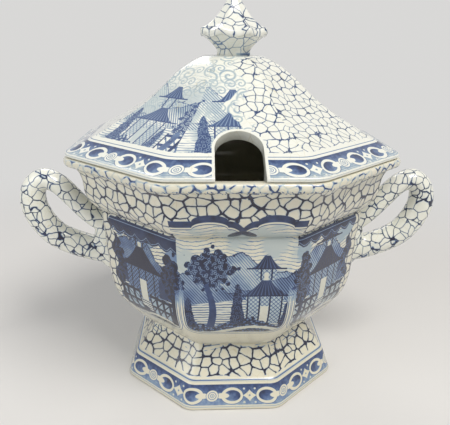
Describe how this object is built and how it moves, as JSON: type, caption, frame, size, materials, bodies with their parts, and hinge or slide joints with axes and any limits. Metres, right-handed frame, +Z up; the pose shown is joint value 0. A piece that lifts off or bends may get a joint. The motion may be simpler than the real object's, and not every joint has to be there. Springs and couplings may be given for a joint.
{
  "type": "covered sauce tureen",
  "caption": "Octagonal pottery sauce tureen on a pedestal foot, with loop handles and a lift-off lid that has a ladle notch and a faceted knob.",
  "frame": {"origin": "centre of the footprint, on the surface that the foot stands on", "axes": "+X from handle to handle, -Y towards the side with the ladle notch, +Z up to the knob"},
  "size_m": [0.2048, 0.131, 0.182],
  "materials": {
    "bowl_glaze": "glossy cream glaze over a blue transfer print",
    "foot_glaze": "glossy cream glaze over a blue transfer print",
    "handle_glaze": "glossy cream glaze over fine blue cell lines",
    "lid_glaze": "glossy cream glaze over a blue transfer print",
    "knob_glaze": "glossy cream glaze over fine blue cell lines"
  },
  "bodies": {
    "tureen": {"bowl": "bowl_glaze", "foot": "foot_glaze", "handle_left": "handle_glaze", "handle_right": "handle_glaze"},
    "lid": {"lid": "lid_glaze", "lid_knob": "knob_glaze"}
  },
  "joints": [
    {"name": "lid_lift", "type": "slide", "parent": "tureen", "child": "lid", "axis": [0, 0, 1], "range_m": [0, 0.07]}
  ]
}
